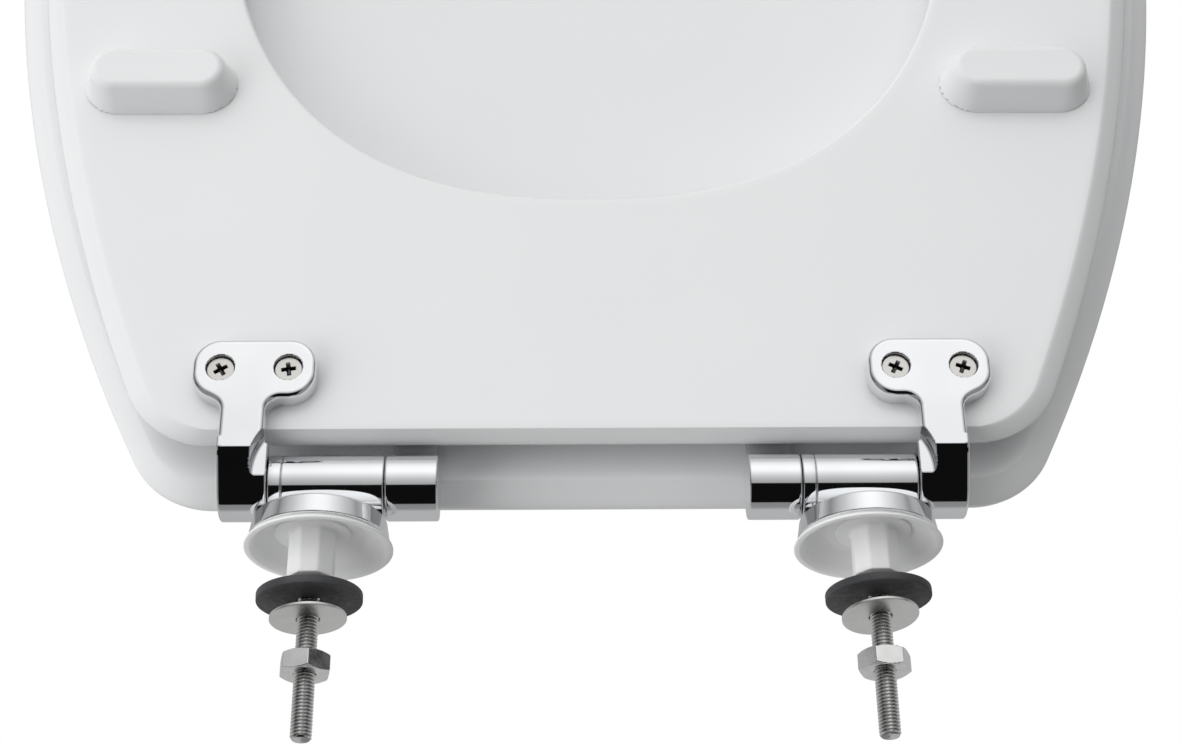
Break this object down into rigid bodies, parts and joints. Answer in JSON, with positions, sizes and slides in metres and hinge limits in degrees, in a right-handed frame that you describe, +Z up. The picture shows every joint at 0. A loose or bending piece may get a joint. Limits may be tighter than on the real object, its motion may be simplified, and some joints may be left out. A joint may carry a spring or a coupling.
{
  "type": "toilet seat",
  "caption": "White gloss toilet seat ring with a solid lid, raised together on chromed top-fixing hinges with threaded studs, washers and nuts.",
  "frame": {"origin": "midway between the two hinge posts, and so between the two fixing studs, on the plane of the bowl deck that the base discs rest on", "axes": "+Z up from the bowl deck, +X along the hinge barrels, -Y towards the front of the bowl; seat and lid stand open"},
  "size_m": [0.384, 0.0494, 0.5212],
  "materials": {
    "white_gloss": "smooth white gloss coat over a moulded core",
    "chrome": "bright chrome plating on cast zinc",
    "steel": "zinc-plated steel, satin",
    "white_nylon": "milky white moulded plastic, slightly translucent",
    "rubber": "dark grey moulded rubber, matt"
  },
  "bodies": {
    "posts": {"post_left": "chrome", "post_right": "chrome", "end_ring_left": "chrome", "end_ring_right": "chrome", "hinge_pin_left": "steel", "hinge_pin_right": "steel", "base_disc_left": "white_nylon", "base_disc_right": "white_nylon", "stud_left": "steel", "stud_right": "steel", "rubber_washer_left": "rubber", "rubber_washer_right": "rubber", "steel_washer_left": "steel", "steel_washer_right": "steel", "nut_left": "steel", "nut_right": "steel"},
    "seat": {"seat_ring": "white_gloss", "seat_buffer_rear_left": "white_gloss", "seat_buffer_rear_right": "white_gloss", "seat_buffer_front_left": "white_gloss", "seat_buffer_front_right": "white_gloss", "seat_leg_left": "chrome", "seat_leg_right": "chrome", "seat_bush_left": "white_nylon", "seat_bush_right": "white_nylon", "seat_screw_left_outer": "steel", "seat_screw_left_inner": "steel", "seat_screw_right_inner": "steel", "seat_screw_right_outer": "steel"},
    "lid": {"lid": "white_gloss", "lid_pad_rear_left": "white_nylon", "lid_pad_rear_right": "white_nylon", "lid_pad_front_left": "white_nylon", "lid_pad_front_right": "white_nylon", "lid_leg_left": "chrome", "lid_leg_right": "chrome", "lid_bush_left": "white_nylon", "lid_bush_right": "white_nylon", "lid_screw_left_outer": "steel", "lid_screw_left_inner": "steel", "lid_screw_right_inner": "steel", "lid_screw_right_outer": "steel"}
  },
  "joints": [
    {"name": "lid_hinge", "type": "hinge", "parent": "posts", "child": "lid", "pos_m": [0, 0, 0.0195], "axis": [1, 0, 0], "range_deg": [0, 89]},
    {"name": "seat_hinge", "type": "hinge", "parent": "posts", "child": "seat", "pos_m": [0, 0, 0.0195], "axis": [1, 0, 0], "range_deg": [0, 89]}
  ],
  "couplings": [
    {"joint": "seat_hinge", "follows": "lid_hinge", "ratio": 1}
  ]
}
